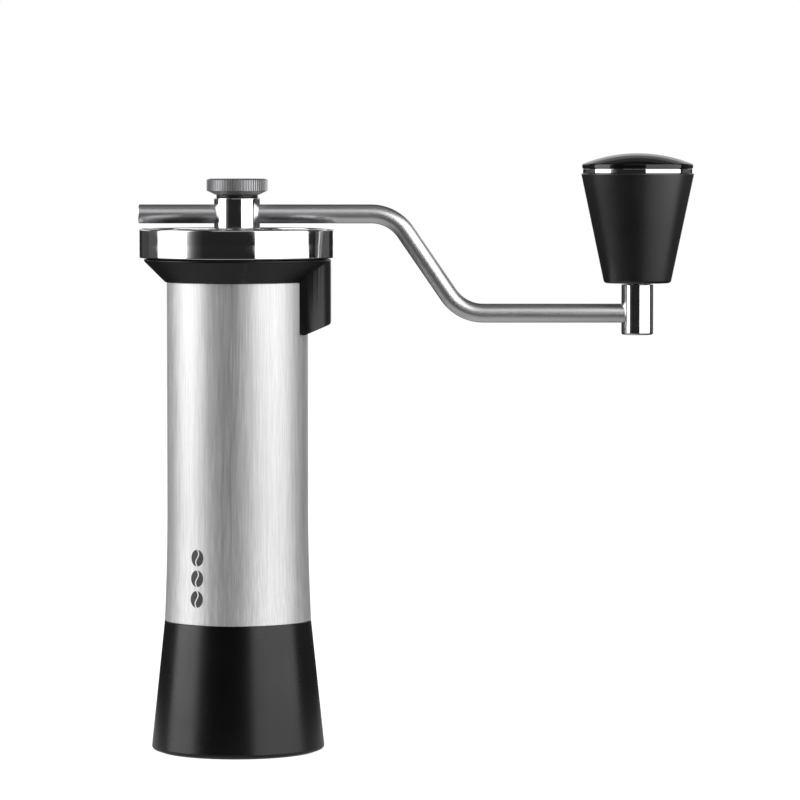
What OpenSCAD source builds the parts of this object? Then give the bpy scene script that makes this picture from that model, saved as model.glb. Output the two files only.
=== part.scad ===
// Hand crank coffee grinder: conical burrs in a steel tube, a flared catch cup, and a Z-shaped crank with a tapered knob.
// The origin is on the table under the axle. +Z is up, and +X is the side of the thumb rest and of the crank at rest.

/* [Catch cup] */
// Radius of the cup at its foot
cup_foot_r = 36.5; // [35:0.5:40]
// Height of the cup's rim, where the steel tube begins
cup_h = 55; // [51:0.1:60]
// Thickness of the cup's wall and floor
cup_wall = 2.2; // [1.8:0.1:2.6]
// Number of pin magnets that hold the grinder in the cup
magnet_count = 8; // [4:1:12]

/* [Body] */
// Outer radius of the steel tube where it is straight
tube_r = 29.6; // [29.4:0.1:30.2]
// Outer radius of the tube's flared lower end
tube_flare_r = 30.8; // [30.7:0.1:31.5]
// Height of the tube's flare
flare_h = 50.6; // [30:0.2:60]
// Length of the tube
tube_len = 147.1; // [130:0.1:170]
// Outer radius of the polished ring round the hopper's mouth
ring_r = 41; // [40.5:0.1:43]
// Height of the polished ring
ring_h = 12.2; // [10:0.2:14]
// Width of the thumb rest
rest_w = 27; // [20:1:30]
// Height of the thumb rest below the collar
rest_drop = 22; // [14:1:30]

/* [Crank] */
// Radius of the bent rod
rod_r = 4; // [3.5:0.1:4.2]
// Distance from the axle to the knob's axis
arm_len = 168; // [140:1:190]
// How far the rod's short end reaches behind the axle
tail_len = 41.4; // [20:0.2:60]
// Height difference between the rod's two level runs
arm_drop = 41.6; // [36:0.2:44]
// Angle of the sloping run below the horizontal
slope_a = 55.5; // [45:0.5:60]
// Distance from the axle to the upper bend's corner
bend_x = 65.4; // [55:0.2:72]
// Radius of both bends, to the rod's centre
bend_r = 17.5; // [12:0.5:20]
// Radius of the crank's hub
hub_r = 9.7; // [9:0.1:10.5]
// Radius of the knurled head of the thumb screw
head_r = 12.85; // [11:0.05:14]
// Number of teeth in the knurl
knurl_teeth = 72; // [48:4:90]

/* [Knob] */
// Radius of the knob at its foot
knob_foot_r = 13.8; // [13:0.1:15]
// Radius of the knob under its steel trim ring
knob_top_r = 23.7; // [22:0.1:25]
// Height of the knob's grip, without the trim ring and cap
grip_h = 46; // [42:0.5:52]
// Rise of the domed cap above its edge
dome_h = 4.6; // [3:0.1:8]

/* [Grinding set] */
// Number of fine teeth round each burr
fine_teeth = 36; // [24:4:48]
// Number of coarse feeding blades round each burr
blades = 6; // [4:1:8]
// Clearance between the fine teeth of the two burrs, across the axle
burr_gap = 0.35; // [0.25:0.05:0.6]
// Lead of the adjusting thread, per turn
adjust_pitch = 0.5; // [0.4:0.1:0.8]
// Number of clicks in one turn of the adjusting ring
clicks = 50; // [40:1:60]

/* [Hidden] */
$fn = 96;

eps = 0.01;             // overlap of cutters with the faces they cut
fit = 0.05;             // radial clearance of a running fit
arms = [0, 120, 240];   // directions of the bearing bridges' arms
gaps = [60, 180, 300];  // directions between the arms

// Cup levels and radii
pad_h = 1.4;            // rubber pad under the cup
pad_proud = 0.6;        // how far the pad stands out of the cup's underside
pad_r = cup_foot_r - 2.5;
foot_round = 1.3;       // rounding of the cup's lower edge
nose_drop = 9.9;        // how far the burr housing reaches down into the cup
nose_z = cup_h - nose_drop;
nose_r = 28.9;
shelf_r = 26.7;         // inner radius of the shelf under the nose
shelf_h = 3.5;
magnet_r = 1;
magnet_l = 3;

// Body levels and radii
tube_bore_r = 28.1;
tube_top_z = cup_h + tube_len;
counterbore_h = 7.1;    // wider bore at the tube's lower end, round the nose
collar_z = tube_top_z - 4.9;
collar_low_r = tube_r + 0.7;
collar_high_r = ring_r - 1.6;
collar_cone = collar_high_r - collar_low_r;
collar_top_z = collar_z + collar_cone + 0.4;
shadow_gap = 0.7;       // groove between the collar and the polished ring
ring_z = collar_top_z + shadow_gap;
ring_top_z = ring_z + ring_h;
ledge_z = ring_z + 3.7; // ledge inside the ring that carries the upper bridge
spigot_r = 33.4;
funnel_r = 31.4;
mouth_r = ring_r - 3.1;
bridge_screw_x = (spigot_r + mouth_r) / 2;
rest_z = collar_z - rest_drop;
rest_slope = 22.6;      // slope of the thumb rest's lower edge, degrees
rest_round = 10;        // rounding of the thumb rest's outer corners

// Bearings: 8 mm bore, 22 mm outside, 7 mm wide
bearing_h = 7;
bearing_bore_r = 4;
bearing_out_r = 11;
inner_ring_r = 6;
outer_ring_r = 9;
ball_r = 1.98;
ball_pitch_r = 7.5;
ball_count = 7;
groove_r = 2.05;
shield_t = 0.3;
bridge_t = 2.5;
upper_bearing_z = ledge_z + bridge_t - bearing_h;
housing_top_z = cup_h + 33.6;
lower_bearing_z = housing_top_z + 2;
bridge_hub_r = 14;
arm_w = 7;

// Grinding set levels and radii
carrier_r = 25;
carrier_thread_r = 24.4;
carrier_bore_r = 23.5;
carrier_z = nose_z + 1;
carrier_top_z = housing_top_z - 2.5;
carrier_step_z = carrier_z + 7;
burr_seat_z = carrier_z + 14;
outer_burr_h = 20;
inner_burr_z = burr_seat_z - 1;
inner_burr_h = 25;
inner_burr_top_z = inner_burr_z + inner_burr_h;
boss_r = 7.4;           // plain boss on top of the inner burr, slotted for the drive pin
boss_h = 4;
drive_pin_z = inner_burr_top_z - 2;
ring_shoulder_z = nose_z + 7;
flange_r = 27.4;
flange_h = 3.3;
dial_r = 26.1;
dial_z = nose_z - 3;
circlip_z = nose_z + 2.35;
circlip_t = 1.1;
circlip_groove_r = 28.1;
click_r = 26.5;         // distance of the click ball from the axle
click_a = 90;           // direction of the click ball
click_ball_r = 1;
notch_r = 1.2;
notch_depth = 0.3;
pin_r = 1.5;
pin_z = carrier_z + 26;
slot_up = 2.5;          // how far the carrier's slots reach above the guide pins' centres
slot_down = 3.5;

// Axle and crank levels
axle_r = bearing_bore_r;
axle_shoulder_r = 5.75;
clip_z = upper_bearing_z + bearing_h + 0.1;
clip_t = 1;
spacer_z = clip_z + clip_t;
spacer_t = 0.8;
hub_z = spacer_z + spacer_t;
axle_top_z = hub_z + 5.6;
hub_top_z = ring_top_z + 13;
rod_z = ring_top_z + 6.2;
low_rod_z = rod_z - arm_drop;
screw_r = 2;
screw_hole_r = 2.2;
washer_t = 1.2;
washer_r = 8.7;
head_z = hub_top_z + washer_t;
head_cone_h = 1.6;
head_h = 5.2;
screw_tip_z = hub_z - 2.4;
bend_t = bend_r * tan(slope_a / 2);
bend_x2 = bend_x + arm_drop / tan(slope_a);
post_r = 6.7;
post_z = low_rod_z - 9.1;
post_top_z = low_rod_z + 12.1;
knob_z = post_top_z + 0.5;
grip_top_z = knob_z + grip_h;
spindle_r = 4;
bush_r = 6;
bush_l = 11;
cavity_z = knob_z + 33.3;
cap_seat_r = 19;
trim_h = 2;
trim_z = grip_top_z;
cap_z = trim_z + trim_h;
cap_r = knob_top_r - 0.4;
cap_edge = 1.9;

// The tube's outer radius at height z, an arc of large radius that is straight above the flare.
flare_rise = tube_flare_r - tube_r;
flare_arc_r = (flare_h * flare_h + flare_rise * flare_rise) / (2 * flare_rise);
function tube_radius(z) =
    let (d = cup_h + flare_h - z)
    d <= 0 ? tube_r : tube_r + flare_arc_r - sqrt(flare_arc_r * flare_arc_r - d * d);

// Points of an arc about [cx, cy] from angle a to angle b in n steps.
function arc(cx, cy, r, a, b, n) =
    [for (i = [0:n]) [cx + r * cos(a + (b - a) * i / n), cy + r * sin(a + (b - a) * i / n)]];

// A turned piece whose section is a list of [radius, height] points.
module turned(points) {
    rotate_extrude() polygon(points);
}

module tube(outer, inner, h) {
    difference() {
        cylinder(r = outer, h = h);
        translate([0, 0, -eps]) cylinder(r = inner, h = h + 2 * eps);
    }
}

// Copies of a piece in the given directions about the axle, at a distance from it.
module around(directions, distance) {
    for (a = directions) rotate([0, 0, a]) translate([distance, 0, 0]) children();
}

function even(n, first = 0) = [for (i = [0:n - 1]) first + i * 360 / n];

// ---- Catch cup ----

module catch_cup() {
    low = pad_proud;
    taper = (cup_foot_r - tube_flare_r) / (cup_h - low - foot_round);
    shelf_z = nose_z - shelf_h;
    // the wall's inner radius at height z
    function inner(z) = tube_flare_r + taper * (cup_h - z) - cup_wall;
    under_r = inner(shelf_z - 4);
    floor_z = low + cup_wall + 0.8;
    color("#1b1b1d") difference() {
        turned(concat(
            [[0, low]],
            arc(cup_foot_r - foot_round, low + foot_round, foot_round, -90, 0, 6),
            [[tube_flare_r, cup_h], [nose_r + 0.15, cup_h], [nose_r + 0.15, nose_z]],
            [[shelf_r, nose_z], [shelf_r, shelf_z], [under_r, shelf_z - under_r + shelf_r]],
            [[inner(floor_z + 3), floor_z + 3], [inner(floor_z) - 3, floor_z], [0, floor_z]]
        ));
        translate([0, 0, -eps]) cylinder(r = pad_r + fit, h = pad_h + eps);
        around(even(magnet_count, 22.5), nose_r - 0.95)
            translate([0, 0, nose_z - magnet_l - 0.1]) cylinder(r = magnet_r, h = magnet_l + 1, $fn = 24);
    }
}

module cup_foot_pad() {
    color("#2a2a2c") turned([[0, 0], [pad_r - 0.5, 0], [pad_r, 0.5], [pad_r, pad_h], [0, pad_h]]);
}

module cup_magnets() {
    color("silver") around(even(magnet_count, 22.5), nose_r - 0.95)
        translate([0, 0, nose_z - magnet_l - 0.1]) cylinder(r = magnet_r, h = magnet_l, $fn = 24);
}

// ---- Body ----

module body_tube() {
    steps = 8;
    flare = [for (i = [0:steps]) let (z = cup_h + flare_h * i / steps) [tube_radius(z), z]];
    color("#c9cacc") turned(concat(
        flare,
        [[tube_r, tube_top_z], [tube_bore_r, tube_top_z], [tube_bore_r, cup_h + counterbore_h]],
        [[nose_r + fit, cup_h + counterbore_h], [nose_r + fit, cup_h]]
    ));
}

// Plan of the thumb rest: a block with rounded outer corners.
module rest_plan() {
    half = rest_w / 2;
    polygon(concat(
        [[15, -half]],
        arc(collar_high_r - rest_round, rest_round - half, rest_round, -90, 0, 12),
        arc(collar_high_r - rest_round, half - rest_round, rest_round, 0, 90, 12),
        [[15, half]]
    ));
}

module grip_collar() {
    color("#1d1d1f") difference() {
        union() {
            turned([
                [tube_bore_r, collar_z], [collar_low_r, collar_z],
                [collar_high_r, collar_z + collar_cone], [collar_high_r, collar_top_z],
                [spigot_r + 4.1, collar_top_z], [spigot_r + 4.1, ring_z],
                [spigot_r, ring_z], [spigot_r, ledge_z - 0.6], [funnel_r, ledge_z - 0.6],
                [tube_bore_r, tube_top_z]
            ]);
            difference() {
                translate([0, 0, rest_z]) linear_extrude(collar_top_z - rest_z) rest_plan();
                translate([tube_r - 1.4, 0, rest_z]) rotate([0, -rest_slope, 0])
                    translate([-30, -30, -20]) cube([60, 60, 20]);
                translate([0, 0, rest_z - 1]) cylinder(r = tube_r, h = collar_top_z - rest_z + 2);
            }
        }
        translate([0, 0, rest_z - 1]) cylinder(r = tube_r + fit, h = tube_top_z - rest_z + 1);
    }
}

module top_ring() {
    edge = 0.5;
    color("#d6d7d9") difference() {
        turned([
            [spigot_r + fit, ring_z], [ring_r - edge, ring_z], [ring_r, ring_z + edge],
            [ring_r, ring_top_z - edge], [ring_r - edge, ring_top_z],
            [mouth_r + edge, ring_top_z], [mouth_r, ring_top_z - edge],
            [mouth_r, ledge_z], [spigot_r + fit, ledge_z]
        ]);
        around(arms, bridge_screw_x) translate([0, 0, ledge_z - 3]) cylinder(r = 1, h = 4, $fn = 24);
    }
}

module upper_bridge() {
    top = ledge_z + bridge_t;
    color("#8f9193") difference() {
        union() {
            translate([0, 0, ledge_z]) tube(mouth_r - fit, spigot_r + fit, bridge_t);
            translate([0, 0, upper_bearing_z - 2]) cylinder(r = bridge_hub_r, h = bearing_h + 2);
            for (a = arms) rotate([0, 0, a]) translate([0, arm_w / 2, 0]) rotate([90, 0, 0])
                linear_extrude(arm_w) polygon([
                    [bridge_hub_r - 2, upper_bearing_z - 0.5], [26, upper_bearing_z - 0.5],
                    [spigot_r - 2.5, ledge_z], [spigot_r + 1, ledge_z],
                    [spigot_r + 1, top], [bridge_hub_r - 2, top]
                ]);
        }
        translate([0, 0, upper_bearing_z]) cylinder(r = bearing_out_r, h = bearing_h + 1);
        translate([0, 0, upper_bearing_z - 3]) cylinder(r = outer_ring_r, h = 4);
        around(arms, bridge_screw_x) {
            translate([0, 0, ledge_z - 1]) cylinder(r = 1.1, h = 4, $fn = 24);
            translate([0, 0, top - 1.2]) cylinder(r = 1.95, h = 2, $fn = 24);
        }
    }
}

module bridge_screws() {
    top = ledge_z + bridge_t;
    color("#b8babc") around(arms, bridge_screw_x) difference() {
        union() {
            translate([0, 0, ledge_z - 2.6]) cylinder(r = 1, h = 3.2, $fn = 24);
            translate([0, 0, top - 1.2]) cylinder(r = 1.85, h = 1.1, $fn = 24);
            translate([0, 0, ledge_z + 0.5]) cylinder(r = 1, h = 1, $fn = 24);
        }
        translate([0, 0, top - 0.9]) cylinder(r = 0.9, h = 1, $fn = 6);
    }
}

// ---- Ball bearings ----

module groove(z) {
    translate([0, 0, z + bearing_h / 2]) rotate_extrude() translate([ball_pitch_r, 0]) circle(r = groove_r, $fn = 32);
}

module bearing_outer_ring(z) {
    color("#b4b6b8") difference() {
        translate([0, 0, z]) tube(bearing_out_r, outer_ring_r, bearing_h);
        groove(z);
    }
}

module bearing_inner_ring(z) {
    color("#b4b6b8") difference() {
        translate([0, 0, z]) tube(inner_ring_r, bearing_bore_r, bearing_h);
        groove(z);
    }
}

module bearing_shields(z) {
    color("#a3a5a8") for (h = [z + 0.2, z + bearing_h - 0.2 - shield_t])
        translate([0, 0, h]) tube(outer_ring_r, inner_ring_r + 0.3, shield_t);
}

// The balls, and the crown cage that keeps them apart.
module bearing_balls(z) {
    mid = z + bearing_h / 2;
    color("#d0d2d4") around(even(ball_count), ball_pitch_r) translate([0, 0, mid]) sphere(r = ball_r, $fn = 32);
    color("#b0b2b5") difference() {
        translate([0, 0, mid + 0.8]) tube(ball_pitch_r + 0.9, ball_pitch_r - 0.9, 1.7);
        around(even(ball_count), ball_pitch_r) translate([0, 0, mid]) sphere(r = ball_r + 0.08, $fn = 32);
    }
}

module lower_bridge() {
    top = housing_top_z + bearing_h + 2;
    color("#8f9193") difference() {
        union() {
            turned([
                [carrier_bore_r, housing_top_z], [tube_bore_r - fit, housing_top_z],
                [tube_bore_r - fit, top], [tube_bore_r - 0.7, top], [carrier_bore_r, top - 4]
            ]);
            translate([0, 0, housing_top_z]) cylinder(r = bridge_hub_r, h = bearing_h + 2);
            for (a = arms) rotate([0, 0, a]) translate([bridge_hub_r - 2, -arm_w / 2, housing_top_z + 1])
                cube([tube_bore_r - bridge_hub_r + 1.5, arm_w, bearing_h + 1]);
        }
        translate([0, 0, lower_bearing_z]) cylinder(r = bearing_out_r, h = bearing_h + 1);
        translate([0, 0, housing_top_z - 1]) cylinder(r = outer_ring_r - 1, h = 4);
    }
}

// ---- Grinding set ----

module burr_housing() {
    color("#77797c") difference() {
        turned([
            [nose_r, nose_z], [nose_r, cup_h + counterbore_h - fit], [tube_bore_r - fit, cup_h + counterbore_h - fit],
            [tube_bore_r - fit, housing_top_z], [carrier_r + fit, housing_top_z],
            [carrier_r + fit, ring_shoulder_z], [flange_r + 0.1, ring_shoulder_z],
            [flange_r + 0.1, circlip_z + circlip_t + fit], [circlip_groove_r, circlip_z + circlip_t + fit],
            [circlip_groove_r, circlip_z - fit], [flange_r + 0.1, circlip_z - fit], [flange_r + 0.1, nose_z]
        ]);
        around(gaps, carrier_r - 1) translate([0, 0, pin_z]) rotate([0, 90, 0]) cylinder(r = pin_r, h = 6, $fn = 32);
        around([click_a], click_r) translate([0, 0, ring_shoulder_z - 1])
            cylinder(r = click_ball_r + fit, h = 9, $fn = 24);
    }
}

module guide_pins() {
    color("#a9abad") around(gaps, carrier_r - 0.75) translate([0, 0, pin_z]) rotate([0, 90, 0])
        cylinder(r = pin_r, h = 3.7, $fn = 32);
}

// An open snap ring with an eye in each end.
module ring_circlip() {
    half_gap = 9;
    color("#3a3c3f") translate([0, 0, circlip_z]) difference() {
        rotate([0, 0, 270 + half_gap]) rotate_extrude(angle = 360 - 2 * half_gap)
            translate([dial_r + 0.25, 0]) square([circlip_groove_r - dial_r - 0.3, circlip_t]);
        around([270 - half_gap - 4, 270 + half_gap + 4], dial_r + 1.1) translate([0, 0, -1])
            cylinder(r = 0.4, h = 4, $fn = 24);
    }
}

// The dial that is turned by hand once the cup is off. Its flange carries the click notches.
module adjusting_ring() {
    flange_z = ring_shoulder_z - 0.1 - flange_h;
    top = ring_shoulder_z - 0.1;
    grips = 25;
    color("#242528") difference() {
        turned([
            [22.8, dial_z], [dial_r - 0.6, dial_z], [dial_r, dial_z + 0.6], [dial_r, flange_z],
            [flange_r, flange_z], [flange_r, top], [carrier_thread_r + fit, top],
            [carrier_thread_r + fit, dial_z + 2.3], [22.8, dial_z + 2.3], [21.8, dial_z + 1.2]
        ]);
        around(even(clicks, click_a), click_r - 1.5) translate([0, 0, top + notch_r - notch_depth])
            rotate([0, 90, 0]) cylinder(r = notch_r, h = 4, $fn = 24);
        around(even(grips, 3.6), dial_r + 0.9) translate([0, 0, dial_z - 1]) cylinder(r = 1.3, h = 3.9, $fn = 24);
    }
}

module click_ball() {
    color("silver") around([click_a], click_r)
        translate([0, 0, ring_shoulder_z + click_ball_r - 0.05]) sphere(r = click_ball_r, $fn = 32);
}

// A round wire swept along a helix: coil radius r, wire radius w, height h of the centre line, n turns.
module coil(r, w, h, n, sides = 6, steps = 14) {
    total = n * steps;
    points = [for (i = [0:total]) for (k = [0:sides - 1])
        let (a = 360 * i / steps, q = r + w * cos(360 * k / sides))
        [q * cos(a), q * sin(a), w + h * i / total + w * sin(360 * k / sides)]];
    walls = [for (i = [0:total - 1]) for (k = [0:sides - 1])
        let (a = i * sides + k, b = i * sides + (k + 1) % sides)
        [a, b, b + sides, a + sides]];
    ends = [[for (k = [sides - 1:-1:0]) k], [for (k = [0:sides - 1]) total * sides + k]];
    polyhedron(points, concat([for (f = walls) [f[3], f[2], f[1], f[0]]], [for (f = ends) [for (k = [len(f) - 1:-1:0]) f[k]]]));
}

module click_spring() {
    wire = 0.15;
    low = ring_shoulder_z + 2 * click_ball_r;
    color("silver") around([click_a], click_r) translate([0, 0, low])
        coil(click_ball_r - wire - 0.1, wire, ring_shoulder_z + 8 - low - 2 * wire - 0.05, 7);
}

module burr_carrier() {
    color("#8a8c90") difference() {
        turned([
            [22, carrier_z], [carrier_thread_r, carrier_z], [carrier_thread_r, carrier_step_z],
            [carrier_r, carrier_step_z], [carrier_r, carrier_top_z], [carrier_bore_r, carrier_top_z],
            [carrier_bore_r, burr_seat_z], [21.3, burr_seat_z]
        ]);
        for (a = gaps) rotate([0, 0, a]) translate([carrier_r - 0.9, -pin_r - fit, pin_z - slot_down])
            cube([3, 2 * (pin_r + fit), slot_down + slot_up]);
    }
}

// Burr surfaces. A tooth is a saw edge: 0 at its tip, falling to 1 at its root.
function saw(x) = let (f = x - floor(x)) f < 0.25 ? 4 * f : (1 - f) / 0.75;
function ramp(x, a, b) = max(0, min(1, (x - a) / (b - a)));
// Height above the inner burr's foot to its smooth radius.
function cone_radius(h) = h < 1 ? 20 + 0.5 * h : h < 7 ? 20.5 - 0.425 * (h - 1) : 17.95 - 0.52 * (h - 7);
function inner_tooth(h, a) =
    0.7 * ramp(h, 11, 7) * saw(fine_teeth * a / 360 - h * 0.16)
    + 2.6 * ramp(h, 6, 13) * saw(blades * a / 360 - h * 0.05);
// Height above the outer burr's foot to its smooth inner radius, and the depth cut into it.
function throat_radius(h) = h < 6 ? 20.5 + burr_gap - 0.425 * h : 17.95 + burr_gap - 0.06 * (h - 6);
function outer_tooth(h, a) =
    0.7 * ramp(h, 10, 6) * saw(fine_teeth * a / 360 + h * 0.16)
    + 2.4 * ramp(h, 5, 11) * saw(blades * a / 360 + h * 0.05);

// A closed stack of rings of points, given a list of levels [height, list of radii].
module stack(levels) {
    n = len(levels[0][1]);
    m = len(levels);
    points = [for (l = levels) for (k = [0:n - 1]) [l[1][k] * cos(360 * k / n), l[1][k] * sin(360 * k / n), l[0]]];
    walls = [for (i = [0:m - 2]) for (k = [0:n - 1]) let (a = i * n + k, b = i * n + (k + 1) % n)
        each [[a, a + n, b], [b, a + n, b + n]]];
    polyhedron(points, concat(walls, [[for (k = [0:n - 1]) k]], [[for (k = [n - 1:-1:0]) (m - 1) * n + k]]));
}

burr_sides = 3 * fine_teeth;

module inner_burr() {
    heights = [0, 1, 2.5, 4, 5.5, 7, 9, 11, 13, 15, 18];
    round_heights = [inner_burr_h - boss_h, inner_burr_h];
    color("#5d5f63") difference() {
        translate([0, 0, inner_burr_z]) stack(concat(
            [for (h = heights) [h, [for (k = [0:burr_sides - 1]) cone_radius(h) - inner_tooth(h, 360 * k / burr_sides)]]],
            [for (h = round_heights) [h, [for (k = [0:burr_sides - 1]) boss_r]]]
        ));
        translate([0, 0, inner_burr_z - 1]) cylinder(r = axle_r, h = inner_burr_h + 2);
        translate([-pin_r - fit, -boss_r - 1, drive_pin_z - pin_r])
            cube([2 * (pin_r + fit), 2 * boss_r + 2, boss_h]);
    }
}

module outer_burr() {
    heights = [-0.5, 0, 1.5, 3, 4.5, 6, 8, 10, 13, 16, outer_burr_h + 0.5];
    color("#5d5f63") difference() {
        translate([0, 0, burr_seat_z]) cylinder(r = carrier_bore_r, h = outer_burr_h);
        translate([0, 0, burr_seat_z]) stack([for (h = heights)
            [h, [for (k = [0:burr_sides - 1]) throat_radius(max(h, 0)) + outer_tooth(max(h, 0), 360 * k / burr_sides)]]]);
    }
}

module burr_lock_ring() {
    z = burr_seat_z + outer_burr_h;
    color("#3f4145") difference() {
        translate([0, 0, z]) tube(carrier_bore_r, 21, 3);
        for (a = [30, 210]) rotate([0, 0, a]) translate([20, -1.5, z + 1.5]) cube([3, 3, 3]);
    }
}

// A flat wire with waves, between the carrier and the lower bridge.
module carrier_spring() {
    inside = carrier_bore_r + 0.15;
    outside = carrier_r - 0.15;
    thick = 0.3;
    height = housing_top_z - carrier_top_z - 0.1;
    n = 96;
    function wave(k) = (height - thick) * (0.5 + 0.5 * cos(4 * 360 * k / n));
    points = [for (k = [0:n - 1]) let (a = 360 * k / n, z = carrier_top_z + 0.05 + wave(k))
        each [[inside * cos(a), inside * sin(a), z], [outside * cos(a), outside * sin(a), z],
              [outside * cos(a), outside * sin(a), z + thick], [inside * cos(a), inside * sin(a), z + thick]]];
    faces = [for (k = [0:n - 1]) for (s = [0:3])
        let (a = 4 * k + s, b = 4 * k + (s + 1) % 4, c = 4 * ((k + 1) % n) + s, d = 4 * ((k + 1) % n) + (s + 1) % 4)
        each [[a, b, c], [b, d, c]]];
    color("silver") polyhedron(points, faces);
}

// ---- Axle and crank ----

module axle() {
    color("#aeb0b3") difference() {
        union() {
            translate([0, 0, inner_burr_z]) cylinder(r = axle_r, h = hub_z - inner_burr_z);
            translate([0, 0, inner_burr_top_z]) cylinder(r = axle_shoulder_r, h = lower_bearing_z - inner_burr_top_z);
            translate([0, 0, hub_z - eps]) cylinder(r = axle_r, h = axle_top_z - hub_z + eps, $fn = 6);
        }
        translate([0, 0, clip_z]) tube(axle_r + 1, axle_r - 0.6, clip_t);
        translate([0, 0, axle_top_z - 14]) cylinder(r = screw_r + fit, h = 15, $fn = 32);
        translate([0, 0, inner_burr_z - 1]) cylinder(r = 2.5, h = 13, $fn = 32);
        translate([0, 10, drive_pin_z]) rotate([90, 0, 0]) cylinder(r = pin_r, h = 20, $fn = 32);
    }
}

module axle_clip() {
    color("#3a3c3f") translate([0, 0, clip_z]) difference() {
        tube(axle_r + 2.4, axle_r - 0.6, clip_t);
        translate([0, -1.6, -1]) cube([10, 3.2, 4]);
    }
}

module hub_spacer() {
    color("#d0d2d4") translate([0, 0, spacer_z]) tube(7, axle_r, spacer_t);
}

module drive_pin() {
    color("#a9abad") translate([0, boss_r - 0.2, drive_pin_z]) rotate([90, 0, 0])
        cylinder(r = pin_r, h = 2 * boss_r - 0.4, $fn = 32);
}

module burr_washer() {
    color("#b8babc") translate([0, 0, inner_burr_z - 1.2]) tube(8, 2.5, 1.2);
}

module burr_bolt() {
    z = inner_burr_z - 1.2;
    color("#b8babc") difference() {
        union() {
            translate([0, 0, z - 5]) cylinder(r = 4.25, h = 5);
            translate([0, 0, z - eps]) cylinder(r = 2.5, h = 12, $fn = 32);
        }
        translate([0, 0, z - 6]) cylinder(r = 2.3, h = 4, $fn = 6);
    }
}

module crank_hub() {
    edge = 0.5;
    color("#d6d7d9") difference() {
        turned([
            [0, hub_z], [hub_r - edge, hub_z], [hub_r, hub_z + edge],
            [hub_r, hub_top_z - edge], [hub_r - edge, hub_top_z], [0, hub_top_z]
        ]);
        translate([0, 0, hub_z - 1]) cylinder(r = axle_r + 0.1, h = axle_top_z - hub_z + 1.2, $fn = 6);
        translate([0, 0, hub_z]) cylinder(r = screw_hole_r, h = 30, $fn = 32);
        translate([-20, 0, rod_z]) rotate([0, 90, 0]) cylinder(r = rod_r, h = 40);
    }
}

// A bend in the XZ plane, about its own centre, a hair thicker than the runs that reach into it.
module elbow(start, sweep) {
    rotate([90, 0, 0]) rotate([0, 0, start]) rotate_extrude(angle = sweep)
        translate([bend_r, 0]) circle(r = rod_r + 0.03);
}

module crank_rod() {
    edge = 0.5;
    into = 0.4;
    slope_len = arm_drop / sin(slope_a) - 2 * bend_t;
    color("#bfc1c4") difference() {
        union() {
            translate([-tail_len, 0, rod_z]) rotate([0, 90, 0]) turned([
                [0, 0], [rod_r - edge, 0], [rod_r, edge], [rod_r, tail_len + bend_x - bend_t + into],
                [0, tail_len + bend_x - bend_t + into]
            ]);
            translate([bend_x - bend_t, 0, rod_z - bend_r]) elbow(90 - slope_a, slope_a);
            translate([bend_x + bend_t * cos(slope_a), 0, rod_z - bend_t * sin(slope_a)])
                rotate([0, 90 + slope_a, 0]) translate([0, 0, -into]) cylinder(r = rod_r, h = slope_len + 2 * into);
            translate([bend_x2 + bend_t, 0, low_rod_z + bend_r]) elbow(270 - slope_a, slope_a);
            translate([bend_x2 + bend_t - into, 0, low_rod_z]) rotate([0, 90, 0])
                cylinder(r = rod_r, h = arm_len + 3 - bend_x2 - bend_t + into);
        }
        translate([0, 0, rod_z - 10]) cylinder(r = screw_hole_r, h = 20, $fn = 32);
    }
}

module crank_post() {
    edge = 0.6;
    color("#d6d7d9") translate([arm_len, 0, 0]) difference() {
        turned([
            [0, post_z], [post_r - edge, post_z], [post_r, post_z + edge],
            [post_r, post_top_z - 0.3], [post_r - 0.3, post_top_z], [0, post_top_z]
        ]);
        translate([-10, 0, low_rod_z]) rotate([0, 90, 0]) cylinder(r = rod_r, h = 13);
        translate([0, 0, low_rod_z + rod_r + 0.9]) cylinder(r = 3, h = 10);
    }
}

module lock_washer() {
    color("#161618") translate([0, 0, hub_top_z]) tube(washer_r, screw_hole_r + 0.1, washer_t);
}

// Outline of the knurl: straight teeth with flat-sided valleys.
module knurl_plan(r, depth) {
    polygon([for (i = [0:2 * knurl_teeth - 1])
        let (q = i % 2 == 0 ? r : r - depth, a = 180 * i / knurl_teeth) [q * cos(a), q * sin(a)]]);
}

module thumb_screw() {
    edge = 0.5;
    z = head_z + head_cone_h;
    color("#b9bbbd") {
        turned([
            [0, screw_tip_z], [screw_r - 0.4, screw_tip_z], [screw_r, screw_tip_z + 0.4], [screw_r, head_z],
            [9, head_z], [head_r - edge, z], [0, z]
        ]);
        translate([0, 0, z]) linear_extrude(head_h - edge) knurl_plan(head_r, 0.45);
        translate([0, 0, z + head_h - edge]) cylinder(r1 = head_r - 0.6, r2 = head_r - 1, h = edge);
    }
}

// ---- Knob ----

module at_knob() {
    translate([arm_len, 0, 0]) children();
}

module knob_spindle() {
    low = low_rod_z + rod_r + 0.9;
    top = cavity_z + 1.2;
    color("#c4c6c8") at_knob() difference() {
        union() {
            translate([0, 0, low]) cylinder(r = 3, h = post_top_z - low + 1);
            translate([0, 0, post_top_z]) cylinder(r = spindle_r, h = top - post_top_z);
        }
        translate([0, 0, top - 12]) cylinder(r = 2, h = 13, $fn = 32);
    }
}

module knob_grip() {
    round_r = 1.6;
    lean = atan((knob_top_r - knob_foot_r) / grip_h);
    color("#1c1c1e") at_knob() turned(concat(
        [[bush_r, knob_z]],
        arc(knob_foot_r + 0.3 - round_r, knob_z + round_r, round_r, -90, -lean, 6),
        [[knob_top_r, grip_top_z - 0.4], [knob_top_r - 0.4, grip_top_z], [cap_seat_r, grip_top_z]],
        [[cap_seat_r, grip_top_z - 4.8], [16, grip_top_z - 4.8], [16, cavity_z], [bush_r, cavity_z]]
    ));
}

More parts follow.
